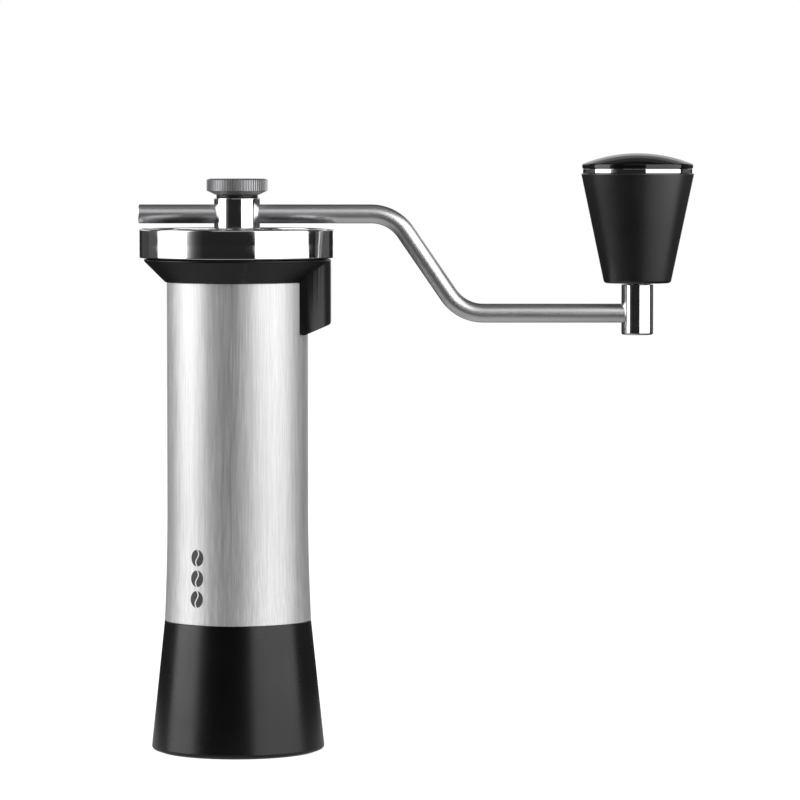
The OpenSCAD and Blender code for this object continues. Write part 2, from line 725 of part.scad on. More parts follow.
module knob_bush_lower() {
    color("#b08d4a") at_knob() translate([0, 0, post_top_z + 0.15])
        tube(bush_r, spindle_r + fit, bush_l);
}

module knob_bush_upper() {
    color("#b08d4a") at_knob() {
        translate([0, 0, cavity_z - bush_l]) tube(bush_r, spindle_r + fit, bush_l + 1);
        translate([0, 0, cavity_z]) tube(8, spindle_r + fit, 1);
    }
}

module knob_washer() {
    color("#b8babc") at_knob() translate([0, 0, cavity_z + 1.2]) tube(7, 2, 1);
}

module knob_screw() {
    z = cavity_z + 2.2;
    color("#b8babc") at_knob() difference() {
        union() {
            translate([0, 0, z]) cylinder(r1 = 3.8, r2 = 3, h = 2.2);
            translate([0, 0, z - 12]) cylinder(r = 2, h = 12 + eps, $fn = 32);
        }
        translate([0, 0, z + 0.8]) cylinder(r = 1.45, h = 3, $fn = 6);
    }
}

module knob_ring() {
    color("#e0e1e3") at_knob() translate([0, 0, trim_z]) tube(knob_top_r - 0.7, cap_seat_r, trim_h);
}

module knob_cap() {
    dome_r = (cap_r * cap_r + dome_h * dome_h) / (2 * dome_h);
    edge_a = asin(cap_r / dome_r);
    top = cap_z + cap_edge + dome_h;
    inner = cap_seat_r - 2;
    color("#0f0f11") at_knob() turned(concat(
        [[cap_seat_r - fit, trim_z - 4.5], [cap_seat_r - fit, cap_z], [cap_r - 0.3, cap_z], [cap_r, cap_z + 0.3]],
        arc(0, top - dome_r, dome_r, 90 - edge_a, 90, 12),
        [[0, cap_z], [inner, cap_z], [inner, trim_z - 4.5]]
    ));
}

catch_cup();
cup_foot_pad();
cup_magnets();
body_tube();
grip_collar();
top_ring();
upper_bridge();
bridge_screws();
bearing_outer_ring(upper_bearing_z);  // upper_bearing_outer_ring
bearing_shields(upper_bearing_z);  // upper_bearing_shields
bearing_inner_ring(upper_bearing_z);  // upper_bearing_inner_ring
bearing_balls(upper_bearing_z);  // upper_bearing_balls
lower_bridge();
bearing_outer_ring(lower_bearing_z);  // lower_bearing_outer_ring
bearing_shields(lower_bearing_z);  // lower_bearing_shields
bearing_inner_ring(lower_bearing_z);  // lower_bearing_inner_ring
bearing_balls(lower_bearing_z);  // lower_bearing_balls
burr_housing();
guide_pins();
ring_circlip();
adjusting_ring();
click_ball();
click_spring();
burr_carrier();
outer_burr();
burr_lock_ring();
carrier_spring();
axle();
axle_clip();
hub_spacer();
inner_burr();
drive_pin();
burr_washer();
burr_bolt();
crank_hub();
crank_rod();
crank_post();
lock_washer();
thumb_screw();
knob_spindle();
knob_grip();
knob_ring();
knob_cap();
knob_bush_lower();
knob_bush_upper();
knob_washer();
knob_screw();
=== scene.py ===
# %% [markdown]
# # A hand crank coffee grinder
#
# The grinder is a steel tube that stands in a flared black cup. A polished ring closes the tube's mouth, a
# bent rod crosses it, and a tapered knob turns at the rod's outer end. The imported model already holds every
# piece at its real size, so this lesson only adds what the eye wants: rounded edges, brushing, polish and
# moulded black plastic.
#
# The first cell loads that model. Its pieces keep their places, and their boxes give the sizes used below.

# %% Load the imported frame
import math

import bmesh
import bpy
from mathutils import Matrix, Vector


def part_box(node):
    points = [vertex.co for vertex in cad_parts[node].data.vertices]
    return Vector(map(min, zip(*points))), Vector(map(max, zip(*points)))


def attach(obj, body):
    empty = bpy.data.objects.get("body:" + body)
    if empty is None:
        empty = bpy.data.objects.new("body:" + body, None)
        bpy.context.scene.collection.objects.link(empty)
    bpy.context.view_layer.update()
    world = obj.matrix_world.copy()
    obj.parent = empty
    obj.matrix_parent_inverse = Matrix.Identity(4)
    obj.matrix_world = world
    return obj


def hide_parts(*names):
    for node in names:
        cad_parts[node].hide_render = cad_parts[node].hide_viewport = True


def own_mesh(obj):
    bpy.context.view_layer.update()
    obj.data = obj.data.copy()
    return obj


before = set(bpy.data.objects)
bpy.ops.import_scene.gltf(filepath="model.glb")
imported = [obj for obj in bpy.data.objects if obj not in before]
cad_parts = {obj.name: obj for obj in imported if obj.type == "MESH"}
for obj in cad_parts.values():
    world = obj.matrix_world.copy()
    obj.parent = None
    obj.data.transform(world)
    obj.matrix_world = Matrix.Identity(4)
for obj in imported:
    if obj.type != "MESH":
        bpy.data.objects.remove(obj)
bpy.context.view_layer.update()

MM = 0.001

# %% [markdown]
# ## Camera
#
# A long lens flattens the view, as product pictures do: the tube's sides stay parallel and its ends show as
# shallow curves. A short lens would be easier to fit in a room, but it makes the foot look smaller than the
# ring. So the camera stands almost two metres away with a lens of about 200 mm, a little above the middle
# of the grinder.

# %% Camera
CAMERA_PLACE = Vector((0.0683, -1.89, 0.2491))
CAMERA_AIM = Vector((0.0683, 0, 0.1476))

camera = bpy.data.objects.new("camera", bpy.data.cameras.new("camera"))
camera.data.lens = 202.5
camera.data.sensor_width = 36
camera.location = CAMERA_PLACE
camera.rotation_euler = (CAMERA_AIM - CAMERA_PLACE).to_track_quat("-Z", "Y").to_euler()
bpy.context.collection.objects.link(camera)
bpy.context.scene.camera = camera
bpy.context.scene.view_settings.view_transform = "Standard"
print("camera is", round((CAMERA_AIM - CAMERA_PLACE).length, 2), "m from the grinder")

# %% [markdown]
# ## Light
#
# Polished metal has no look of its own: it shows what stands round it. A studio therefore lights a chrome
# cylinder with a few large soft boxes and leaves the room between them dark, which draws one tall white
# band for each box. A ring of azimuth angles is all the plan needs, because an upright cylinder doubles the
# angle of its surface: what it shows at 30 degrees off centre comes from 60 degrees.
#
# The left box is followed by ten narrow strips, each weaker than the one before, so that its white band
# melts into the dark middle. The front box stands high, for surfaces that lean back. Behind the grinder, a
# low box and a wide one in three steps of brightness outline it against its own dark side.

# %% Soft boxes
def soft_box(name, azimuth, spread, brightness, low=-0.1, high=1.5, distance=1.3):
    """An upright rectangular light, placed by degrees round the grinder from the camera's side. In metres."""
    light = bpy.data.lights.new(name, "AREA")
    light.shape = "RECTANGLE"
    light.size = 2 * distance * math.tan(math.radians(spread / 2))
    light.size_y = high - low
    light.energy = brightness * math.pi * light.size * light.size_y
    box = bpy.data.objects.new(name, light)
    turn = math.radians(azimuth)
    box.location = (distance * math.sin(turn), -distance * math.cos(turn), (low + high) / 2)
    box.rotation_euler = (math.pi / 2, 0, turn)
    bpy.context.collection.objects.link(box)
    return box


soft_box("box_left", azimuth=-81.7, spread=44.6, brightness=3.0)
FADE_STRIPS = 10
FADE_WIDTH = 2
FADE_RATE = 0.48
for k in range(FADE_STRIPS):
    soft_box("box_left_fade", azimuth=-58.4 + FADE_WIDTH * k, spread=FADE_WIDTH,
             brightness=0.8 * math.exp(-FADE_RATE * k))
soft_box("box_left_dim", azimuth=-114, spread=20, brightness=0.08)
soft_box("box_left_rim", azimuth=-137, spread=26, brightness=0.045)
soft_box("box_right", azimuth=59.5, spread=74, brightness=2.08, low=0, high=1.1, distance=0.9)
soft_box("box_right_dim", azimuth=122, spread=36, brightness=0.08)
soft_box("box_front", azimuth=0, spread=60, brightness=0.52, low=0.72, high=2.3)
soft_box("box_behind", azimuth=168, spread=24, brightness=1.2, high=0.3)
SKYLINE = ((0.3, 0.75, 0.75), (0.75, 1.0, 0.3), (1.0, 1.3, 0.08))
for low_edge, high_edge, brightness in SKYLINE:
    soft_box("box_skyline", azimuth=180, spread=110, brightness=brightness, low=low_edge, high=high_edge)
overhead = soft_box("box_overhead", azimuth=0, spread=40, brightness=0.1, low=0, high=0.9)
overhead.location = (0.1, 0.1, 1.4)
overhead.rotation_euler = (0, 0, 0)

# %% [markdown]
# The backdrop is white to the camera and much darker to the metal, like a lit sweep of paper with black
# boards beside it. The Light Path node tells the two apart, so one world does both jobs. The floor uses the
# same idea. It is pale where the camera sees it, with a soft shadow. To all other rays it is a pool of
# light round the foot, which lifts the undersides and has faded by a third of a metre from the axis.

# %% World and floor
def put(tree, kind, values=(), **settings):
    """A new node with its settings, and its unlinked inputs given as a dict."""
    node = tree.nodes.new(kind)
    for key, value in settings.items():
        setattr(node, key, value)
    for key, value in dict(values).items():
        node.inputs[key].default_value = value
    return node


def join(tree, node, output, other, socket):
    tree.links.new(node.outputs[output], other.inputs[socket])


# A Mix node has an input and an output for each kind of value. These are the ones that carry a colour.
MIX_A = 6
MIX_B = 7
MIXED = 2
WHITE = (1, 1, 1, 1)
ROOM_TO_MATT = (0.3, 0.3, 0.3, 1)
ROOM_TO_METAL = (0.02, 0.02, 0.021, 1)

world = bpy.data.worlds.new("studio")
world.use_nodes = True
bpy.context.scene.world = world
tree = world.node_tree
tree.nodes.clear()
path = put(tree, "ShaderNodeLightPath")
room = put(tree, "ShaderNodeMix", {MIX_A: ROOM_TO_MATT, MIX_B: ROOM_TO_METAL}, data_type="RGBA")
seen = put(tree, "ShaderNodeMix", {MIX_B: WHITE}, data_type="RGBA")
sky = put(tree, "ShaderNodeBackground")
out = put(tree, "ShaderNodeOutputWorld")
join(tree, path, "Is Glossy Ray", room, 0)
join(tree, path, "Is Camera Ray", seen, 0)
join(tree, room, MIXED, seen, MIX_A)
join(tree, seen, MIXED, sky, "Color")
join(tree, sky, "Background", out, "Surface")

FLOOR_R = 3
mesh = bmesh.new()
bmesh.ops.create_circle(mesh, cap_ends=True, segments=64, radius=FLOOR_R)
floor_mesh = bpy.data.meshes.new("floor")
mesh.to_mesh(floor_mesh)
mesh.free()
floor = bpy.data.objects.new("floor", floor_mesh)
bpy.context.collection.objects.link(floor)

paper = bpy.data.materials.new("floor_paper")
paper.use_nodes = True
tree = paper.node_tree
tree.nodes.clear()
path = put(tree, "ShaderNodeLightPath")
place = put(tree, "ShaderNodeTexCoord")
distance = put(tree, "ShaderNodeVectorMath", operation="LENGTH")
pool = put(tree, "ShaderNodeMapRange", {"From Min": 0.12, "From Max": 0.32, "To Min": 0.42, "To Max": 0.03})
dull = put(tree, "ShaderNodeEmission", {"Color": WHITE})
join(tree, place, "Object", distance, 0)
join(tree, distance, "Value", pool, "Value")
join(tree, pool, 0, dull, "Strength")
pale = put(tree, "ShaderNodeBsdfDiffuse", {"Color": (0.3, 0.3, 0.3, 1)})
glow = put(tree, "ShaderNodeEmission", {"Color": WHITE, "Strength": 0.95})
lit = put(tree, "ShaderNodeAddShader")
choice = put(tree, "ShaderNodeMixShader")
out = put(tree, "ShaderNodeOutputMaterial")
join(tree, pale, 0, lit, 0)
join(tree, glow, 0, lit, 1)
join(tree, path, "Is Camera Ray", choice, 0)
join(tree, dull, 0, choice, 1)
join(tree, lit, 0, choice, 2)
join(tree, choice, 0, out, "Surface")
floor_mesh.materials.append(paper)
print("floor is", round(floor.dimensions.x, 1), "m wide")

# %% [markdown]
# ## Places
#
# The pieces' sizes come from the frame's boxes, in millimetres, so that they can't drift from the model.
# Two small helpers read them. What a box doesn't show, such as the straight part of a flared tube, is a
# number of its own.

# %% Places from the frame
def low(node, axis):
    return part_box(node)[0]["xyz".index(axis)] / MM


def high(node, axis):
    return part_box(node)[1]["xyz".index(axis)] / MM


KNOB_X = (low("knob_grip", "x") + high("knob_grip", "x")) / 2
KNOB_AXIS = (KNOB_X * MM, 0, 0)
TUBE_R = 29.6
RIM_R = high("body_tube", "x")
NOSE_R = high("burr_housing", "x")
NOSE_Z = low("burr_housing", "z")
RING_R = high("top_ring", "x")
RING_Z = low("top_ring", "z")
print("knob axis at x =", round(KNOB_X, 2), "mm, ring radius", round(RING_R, 2), "mm")

# %% [markdown]
# ## Shared effects
#
# Real surfaces are never one colour and one gloss all over. Four small node groups bring the differences:
# streaks for brushing, lathe lines for turned steel, a fine grain for moulded and anodised black, and worn
# edges. A group is built once and takes its own numbers in each material, so a finish is changed in one
# place.

# %% Making a node group
def new_group(name, inputs, outputs):
    """A shader node group with its two end nodes. inputs are (name, default); outputs are names of values."""
    group = bpy.data.node_groups.new(name, "ShaderNodeTree")
    group.interface.new_socket(name="Vector", in_out="INPUT", socket_type="NodeSocketVector")
    for label, default in inputs:
        socket = group.interface.new_socket(name=label, in_out="INPUT", socket_type="NodeSocketFloat")
        socket.default_value = default
    for label in outputs:
        group.interface.new_socket(name=label, in_out="OUTPUT", socket_type="NodeSocketFloat")
    return group, group.nodes.new("NodeGroupInput"), group.nodes.new("NodeGroupOutput")


def spread(tree, node, output, low, high, to_low=0.0, to_high=1.0):
    """A Map Range node that takes one value's range to another."""
    span = put(tree, "ShaderNodeMapRange", {
        "From Min": low, "From Max": high, "To Min": to_low, "To Max": to_high,
    })
    join(tree, node, output, span, "Value")
    return span


# %% [markdown]
# **Streaks.** A brush drags long parallel scratches along the steel. A noise texture squeezed hard along
# one direction gives them. The squeeze is done outside by a Mapping node, because it depends on the piece.
# Inside, a fine noise and a broad one are added, since real brushing has both hair lines and wider bands.

# %% Streaks
streaks, ends_in, ends_out = new_group("streaks", [("Fine", 1.0), ("Broad", 1.0)], ["Height", "Tone"])
fine = put(streaks, "ShaderNodeTexNoise", {"Scale": 3000, "Detail": 3, "Roughness": 0.6})
broad = put(streaks, "ShaderNodeTexNoise", {"Scale": 600, "Detail": 3, "Roughness": 0.6})
both = put(streaks, "ShaderNodeMath", operation="MULTIPLY_ADD")
wide = put(streaks, "ShaderNodeMath", operation="MULTIPLY")
for texture in (fine, broad):
    join(streaks, ends_in, "Vector", texture, "Vector")
join(streaks, broad, "Fac", wide, 0)
join(streaks, ends_in, "Broad", wide, 1)
join(streaks, fine, "Fac", both, 0)
join(streaks, ends_in, "Fine", both, 1)
join(streaks, wide, 0, both, 2)
join(streaks, fine, "Fac", ends_out, "Height")
tone = spread(streaks, both, 0, 0.55, 1.45)
join(streaks, tone, 0, ends_out, "Tone")
print("streaks gives", [s.name for s in ends_out.inputs if s.name])

# %% [markdown]
# **Lathe lines.** A turned face carries fine grooves that run round the axis. They depend only on the
# distance from the axis and on the height, so the group measures the radius and leaves the angle out.

# %% Lathe lines
lathe, ends_in, ends_out = new_group("lathe_lines", [("Scale", 2500.0)], ["Height", "Tone"])
parts = put(lathe, "ShaderNodeSeparateXYZ")
flat = put(lathe, "ShaderNodeCombineXYZ")
radius = put(lathe, "ShaderNodeVectorMath", operation="LENGTH")
ring_place = put(lathe, "ShaderNodeCombineXYZ")
lines = put(lathe, "ShaderNodeTexNoise", {"Detail": 2, "Roughness": 0.6}, noise_dimensions="2D")
bands = put(lathe, "ShaderNodeTexNoise", {"Scale": 260, "Detail": 1}, noise_dimensions="2D")
join(lathe, ends_in, "Vector", parts, 0)
join(lathe, parts, "X", flat, "X")
join(lathe, parts, "Y", flat, "Y")
join(lathe, flat, 0, radius, 0)
join(lathe, radius, "Value", ring_place, "X")
join(lathe, parts, "Z", ring_place, "Y")
for texture in (lines, bands):
    join(lathe, ring_place, 0, texture, "Vector")
join(lathe, ends_in, "Scale", lines, "Scale")
join(lathe, lines, "Fac", ends_out, "Height")
join(lathe, bands, "Fac", ends_out, "Tone")

# %% [markdown]
# **Grain.** Moulded plastic and anodised metal have a skin of tiny dimples, and hands leave faint dull
# patches on them. The group gives the dimples as a height and the patches as a tone.

# %% Grain
grain, ends_in, ends_out = new_group("grain", [("Scale", 2500.0), ("Patches", 60.0)], ["Height", "Tone"])
dimples = put(grain, "ShaderNodeTexNoise", {"Detail": 3, "Roughness": 0.7})
patches = put(grain, "ShaderNodeTexNoise", {"Detail": 4, "Roughness": 0.55})
for texture, rate in ((dimples, "Scale"), (patches, "Patches")):
    join(grain, ends_in, "Vector", texture, "Vector")
    join(grain, ends_in, rate, texture, "Scale")
join(grain, dimples, "Fac", ends_out, "Height")
join(grain, patches, "Fac", ends_out, "Tone")

# %% [markdown]
# **Worn edges.** Handling rubs the finish off sharp edges first. Cycles knows how much a surface bulges, in
# the Geometry node's Pointiness, and a noise breaks the rubbed line up so that it doesn't look drawn with a
# ruler.

# %% Worn edges
worn, ends_in, ends_out = new_group("worn_edges", [("From", 0.53), ("To", 0.62)], ["Mask"])
shape = put(worn, "ShaderNodeNewGeometry")
bulge = put(worn, "ShaderNodeMapRange", {"To Min": 0.0, "To Max": 1.0})
chips = put(worn, "ShaderNodeTexNoise", {"Scale": 500, "Detail": 4, "Roughness": 0.7})
rubbed = put(worn, "ShaderNodeMath", operation="MULTIPLY")
join(worn, shape, "Pointiness", bulge, "Value")
join(worn, ends_in, "From", bulge, "From Min")
join(worn, ends_in, "To", bulge, "From Max")
join(worn, ends_in, "Vector", chips, "Vector")
strong = spread(worn, chips, "Fac", 0.35, 0.65)
join(worn, bulge, 0, rubbed, 0)
join(worn, strong, 0, rubbed, 1)
join(worn, rubbed, 0, ends_out, "Mask")
print("groups:", [g.name for g in bpy.data.node_groups])

# %% [markdown]
# ## Finishes
#
# Every finish starts from the same helper: a Principled shader, a set of coordinates, and a Mapping node
# that can centre the pattern on a piece or stretch it. The coordinates are the object's own, or an
# attribute of its mesh where the pattern has to follow a bend. A colour or a gloss that is even all over
# stays on the shader's own socket; only what changes over the surface is linked.

# %% Starting a finish
class Finish:
    """A material with its Principled shader and mapped coordinates. sockets are more inputs of the shader."""

    def __init__(self, name, colour, metallic, roughness, stretch=(1, 1, 1), centre=(0, 0, 0),
                 attribute=None, **sockets):
        self.material = bpy.data.materials.new(name)
        self.material.use_nodes = True
        self.tree = self.material.node_tree
        self.shader = self.tree.nodes["Principled BSDF"]
        self.shader.inputs["Base Color"].default_value = (*colour, 1)
        self.shader.inputs["Metallic"].default_value = metallic
        self.shader.inputs["Roughness"].default_value = roughness
        for socket, value in sockets.items():
            self.shader.inputs[socket.replace("_", " ")].default_value = value
        if attribute:
            place = put(self.tree, "ShaderNodeAttribute", attribute_name=attribute)
        else:
            place = put(self.tree, "ShaderNodeTexCoord")
        self.place = put(self.tree, "ShaderNodeMapping", {"Scale": stretch})
        self.place.inputs["Location"].default_value = [-c * s for c, s in zip(centre, stretch)]
        join(self.tree, place, "Vector" if attribute else "Object", self.place, "Vector")

    def effect(self, group, **values):
        """Places a shared effect in this finish, with its own values."""
        node = put(self.tree, "ShaderNodeGroup", node_tree=group)
        for key, value in values.items():
            node.inputs[key].default_value = value
        join(self.tree, self.place, "Vector", node, "Vector")
        return node

    def gloss(self, node, output, smooth, rough, low=0.3, high=0.7):
        """Roughness runs from smooth to rough as the effect's value runs from low to high."""
        level = spread(self.tree, node, output, low, high, smooth, rough)
        join(self.tree, level, 0, self.shader, "Roughness")

    def colour(self, node, output, dark, light, low=0.3, high=0.7):
        """The colour runs from dark to light as the effect's value runs from low to high."""
        mix = put(self.tree, "ShaderNodeMix", {MIX_A: (*dark, 1), MIX_B: (*light, 1)}, data_type="RGBA")
        join(self.tree, spread(self.tree, node, output, low, high), 0, mix, 0)
        join(self.tree, mix, MIXED, self.shader, "Base Color")

    def bump(self, node, output, distance, strength):
        """The effect's value raises the surface, by up to distance in metres."""
        bump = put(self.tree, "ShaderNodeBump", {"Strength": strength, "Distance": distance})
        join(self.tree, node, output, bump, "Height")
        join(self.tree, bump, "Normal", self.shader, "Normal")


# %% [markdown]
# ** Steels.** The tube is brushed along its length, so its streaks are squeezed along Z and its highlights
# stand as soft upright bands. The ring, the hub and the post are polished until only faint turning lines
# are left. The rod is drawn bar, satin along its length, and its streaks read an attribute that follows the
# bends. Bearings, axle and screws are turned or ground. The burrs are hardened, the bridges are machined
# aluminium, and the clips have a black oxide that wears off at their edges. The two bushes in the knob are
# bronze, darkened to brown-black as painted shade, because the lower one shows in the shadowed gap under
# the grip.

# %% Steels
def brushed_tube():
    finish = Finish("brushed_tube", (0.84, 0.84, 0.845), 1, 0.5, stretch=(1, 1, 0.02))
    brush = finish.effect(streaks, Fine=1.3, Broad=0.7)
    finish.colour(brush, "Tone", (0.7, 0.7, 0.705), (0.9, 0.9, 0.905), 0.25, 0.75)
    finish.gloss(brush, "Tone", 0.46, 0.58, 0.1, 0.9)
    finish.bump(brush, "Height", 0.00006, 0.9)
    return finish.material


def polished_steel(name="polished_steel", centre=(0, 0, 0)):
    finish = Finish(name, (0.78, 0.78, 0.79), 1, 0.06, centre=centre)
    turning = finish.effect(lathe, Scale=3500)
    finish.gloss(turning, "Tone", 0.045, 0.11)
    finish.bump(turning, "Height", 0.000003, 0.12)
    return finish.material


def drawn_rod():
    finish = Finish("drawn_rod", (0.9, 0.9, 0.91), 1, 0.38, stretch=(0.03, 1, 1), attribute="rod_place")
    drawing = finish.effect(streaks, Fine=0.8, Broad=1.0)
    finish.colour(drawing, "Tone", (0.84, 0.84, 0.85), (0.95, 0.95, 0.96), 0.2, 0.8)
    finish.gloss(drawing, "Tone", 0.34, 0.42, 0.1, 0.9)
    finish.bump(drawing, "Height", 0.00001, 0.12)
    return finish.material


def turned_steel(name="turned_steel", colour=(0.5, 0.51, 0.53), smooth=0.18, rough=0.32):
    finish = Finish(name, colour, 1, 0.25)
    turning = finish.effect(lathe, Scale=2200)
    finish.gloss(turning, "Tone", smooth, rough)
    finish.bump(turning, "Height", 0.00001, 0.5)
    return finish.material


def burr_steel():
    finish = Finish("burr_steel", (0.33, 0.335, 0.35), 1, 0.38)
    skin = finish.effect(grain, Scale=1400, Patches=220)
    finish.colour(skin, "Tone", (0.24, 0.245, 0.26), (0.42, 0.425, 0.44))
    finish.gloss(skin, "Tone", 0.3, 0.5)
    finish.bump(skin, "Height", 0.00002, 0.5)
    return finish.material


def machined_aluminium():
    finish = Finish("machined_aluminium", (0.6, 0.61, 0.63), 1, 0.34)
    skin = finish.effect(grain, Scale=4200, Patches=110)
    finish.colour(skin, "Tone", (0.5, 0.51, 0.53), (0.66, 0.67, 0.69))
    finish.gloss(skin, "Tone", 0.3, 0.44)
    finish.bump(skin, "Height", 0.000012, 0.6)
    return finish.material


def black_oxide():
    finish = Finish("black_oxide", (0.05, 0.05, 0.055), 1, 0.38)
    skin = finish.effect(grain, Scale=2600, Patches=300)
    finish.gloss(skin, "Tone", 0.3, 0.48)
    rub = finish.effect(worn)
    finish.colour(rub, "Mask", (0.05, 0.05, 0.055), (0.25, 0.25, 0.26), 0, 1)
    return finish.material


def shade_dark_bronze():
    # Bronze darkened nearly to black as painted shade: the lower bush shows in the shadowed gap under the
    # grip.
    finish = Finish("shade_dark_bronze", (0.11, 0.075, 0.045), 1, 0.4, centre=KNOB_AXIS)
    skin = finish.effect(grain, Scale=3000, Patches=400)
    finish.colour(skin, "Tone", (0.08, 0.055, 0.032), (0.15, 0.1, 0.058))
    finish.gloss(skin, "Height", 0.3, 0.5)
    return finish.material


# %% [markdown]
# **Blacks.** The cup's black is anodised metal with a satin skin. The collar and the knob's grip are
# moulded, with a duller sheen. The cap is gloss black and almost a mirror. The rubber foot is dull. All of
# them share the grain group and differ in how fine it is and how glossy the skin lies between the dimples.

# %% Blacks
def satin_black(name, smooth, rough, dimple, colour, centre=(0, 0, 0), ior=1.5):
    finish = Finish(name, colour, 0, rough, centre=centre, IOR=ior)
    skin = finish.effect(grain, Scale=2600, Patches=45)
    finish.gloss(skin, "Tone", smooth, rough)
    finish.bump(skin, "Height", dimple, 0.6)
    rub = finish.effect(worn, From=0.54, To=0.66)
    finish.colour(rub, "Mask", colour, tuple(5 * c + 0.03 for c in colour), 0, 1.6)
    return finish.material


def gloss_black():
    finish = Finish("gloss_black", (0.004, 0.004, 0.005), 0, 0.08, centre=KNOB_AXIS)
    skin = finish.effect(grain, Scale=600, Patches=70)
    finish.gloss(skin, "Tone", 0.05, 0.13)
    return finish.material


def rubber(name="rubber", colour=(0.016, 0.016, 0.017), rough=0.75):
    finish = Finish(name, colour, 0, rough)
    skin = finish.effect(grain, Scale=1800, Patches=90)
    finish.colour(skin, "Tone", tuple(0.7 * c for c in colour), tuple(1.35 * c for c in colour))
    finish.gloss(skin, "Tone", rough - 0.1, rough + 0.1)
    finish.bump(skin, "Height", 0.00003, 0.6)
    return finish.material


# %% [markdown]
# ## Turned pieces
#
# Most of the grinder comes off a lathe, and bmesh has the same tool: spin. A lathe hand draws half a
# section and breaks every sharp corner with a small radius. `rounded` does the second part with arcs, and
# `spun` the first. Bevelling after the spin would work too, but rounding the outline first keeps each ring
# of faces clean.

# %% Rounded outlines
def rounded(corners, closed, steps=6):
    """The points of an outline given as corners (x, y, radius). An open outline keeps its two ends sharp."""
    points = []
    for i, (x, y, radius) in enumerate(corners):
        corner = Vector((x, y))
        if radius == 0 or (not closed and i in (0, len(corners) - 1)):
            points.append(corner)
            continue
        back = (Vector(corners[i - 1][:2]) - corner).normalized()
        onward = (Vector(corners[(i + 1) % len(corners)][:2]) - corner).normalized()
        half = back.angle(onward) / 2
        centre = corner + (back + onward).normalized() * radius / math.sin(half)
        start = back * radius / math.tan(half) + corner - centre
        end = onward * radius / math.tan(half) + corner - centre
        sweep = start.angle_signed(end)
        for k in range(steps + 1):
            points.append(centre + Matrix.Rotation(-sweep * k / steps, 2) @ start)
    return points


# %% [markdown]
# `shaded` settles a piece's shading: faces are smooth, edges sharper than 35 degrees stay sharp, and a
# Weighted Normal modifier lets the big flat faces decide, so a small rounding beside them doesn't bend
# their reflections. `finished` turns a bmesh into such a piece, hangs it on the empty of its body, and
# hides the imported nodes it stands for.

# %% Finishing and turning
TOUCHING = 1e-7
SHARP = math.radians(35)


def placed(name, mesh):
    """An object made from a bmesh, with its doubles merged and its faces turned outwards."""
    bmesh.ops.remove_doubles(mesh, verts=mesh.verts, dist=TOUCHING)
    bmesh.ops.recalc_face_normals(mesh, faces=mesh.faces)
    data = bpy.data.meshes.new(name)
    mesh.to_mesh(data)
    mesh.free()
    piece = bpy.data.objects.new(name, data)
    bpy.context.collection.objects.link(piece)
    return piece


def shaded(piece):
    piece.data.shade_smooth()
    piece.data.set_sharp_from_angle(angle=SHARP)
    piece.modifiers.new("even_shading", "WEIGHTED_NORMAL").keep_sharp = True


def finished(name, mesh, body, material, replaces):
    piece = placed(name, mesh)
    shaded(piece)
    piece.data.materials.append(material)
    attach(piece, body)
    if replaces:
        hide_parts(*replaces)
    print(name, "has", len(piece.data.polygons), "faces")
    return piece


def spun(corners, closed=True, x=0.0, steps=128):
    """A bmesh turned from an outline in millimetres about the upright axis at x."""
    mesh = bmesh.new()
    verts = [mesh.verts.new(((x + p.x) * MM, 0, p.y * MM)) for p in rounded(corners, closed)]
    pairs = list(zip(verts, verts[1:])) + ([(verts[-1], verts[0])] if closed else [])
    edges = [mesh.edges.new(pair) for pair in pairs]
    bmesh.ops.spin(mesh, geom=verts + edges, cent=(x * MM, 0, 0), axis=(0, 0, 1), angle=2 * math.pi,
                   steps=steps, use_merge=True)
    bmesh.ops.remove_doubles(mesh, verts=mesh.verts, dist=TOUCHING)
    return mesh


# %% [markdown]
# ## Catch cup
#
# The cup is the grinder's foot. It flares towards the table, its lower edge is rolled over a rubber pad,
# and inside it a shelf carries the grinder's nose. The shelf has magnets, which show as small discs when
# the cup is off.

# %% Catch cup
FOOT_R = high("catch_cup", "x")
FOOT_Z = low("catch_cup", "z")
CUP_Z = high("catch_cup", "z")
WALL = 2.2
FLOOR_Z = FOOT_Z + WALL + 0.8
SHELF_R = 26.7
SHELF_H = 3.5
SHELF_SLOPE = 3.8
PLAY = 0.15

anodised_black = satin_black("anodised_black", 0.26, 0.31, 0.000006, colour=(0.0007, 0.0007, 0.0009))
finished("cup_shell", spun([
    (0, FOOT_Z, 0), (FOOT_R, FOOT_Z, 1.3), (RIM_R, CUP_Z, 0.3), (NOSE_R + PLAY, CUP_Z, 0.3),
    (NOSE_R + PLAY, NOSE_Z - PLAY, 0.1), (SHELF_R, NOSE_Z - PLAY, 0.3), (SHELF_R, NOSE_Z - SHELF_H, 0.4),
    (SHELF_R + SHELF_SLOPE, NOSE_Z - SHELF_H - SHELF_SLOPE, 2), (FOOT_R - WALL - 0.4, FLOOR_Z, 4),
    (0, FLOOR_Z, 0),
], closed=False, steps=160), "cup", anodised_black, ["catch_cup"])

# %% [markdown]
# The pad under the cup is moulded rubber. Concentric grooves let it grip a wet worktop, and its rim is
# rounded.

# %% Foot pad
PAD_R = high("cup_foot_pad", "x")
PAD_TOP = high("cup_foot_pad", "z")
GROOVES = (12, 18, 24, 30)
GROOVE_W = 1
GROOVE_H = 0.35
underside = [(0, 0, 0)]
for r in GROOVES:
    underside += [(r, 0, 0.15), (r, GROOVE_H, 0.1), (r + GROOVE_W, GROOVE_H, 0.1), (r + GROOVE_W, 0, 0.15)]
rubber_pad = rubber()
finished("foot_pad", spun(underside + [(PAD_R, 0, 0.5), (PAD_R, PAD_TOP, 0.2), (0, PAD_TOP, 0)],
                          closed=False), "cup", rubber_pad, ["cup_foot_pad"])

# %% [markdown]
# ## Body tube
#
# The tube is one piece of steel, straight above and opened out slightly towards the cup. The flare is an
# arc of very large radius, so its outline takes fourteen points from the arc's formula. A straight stretch
# only needs its two ends.

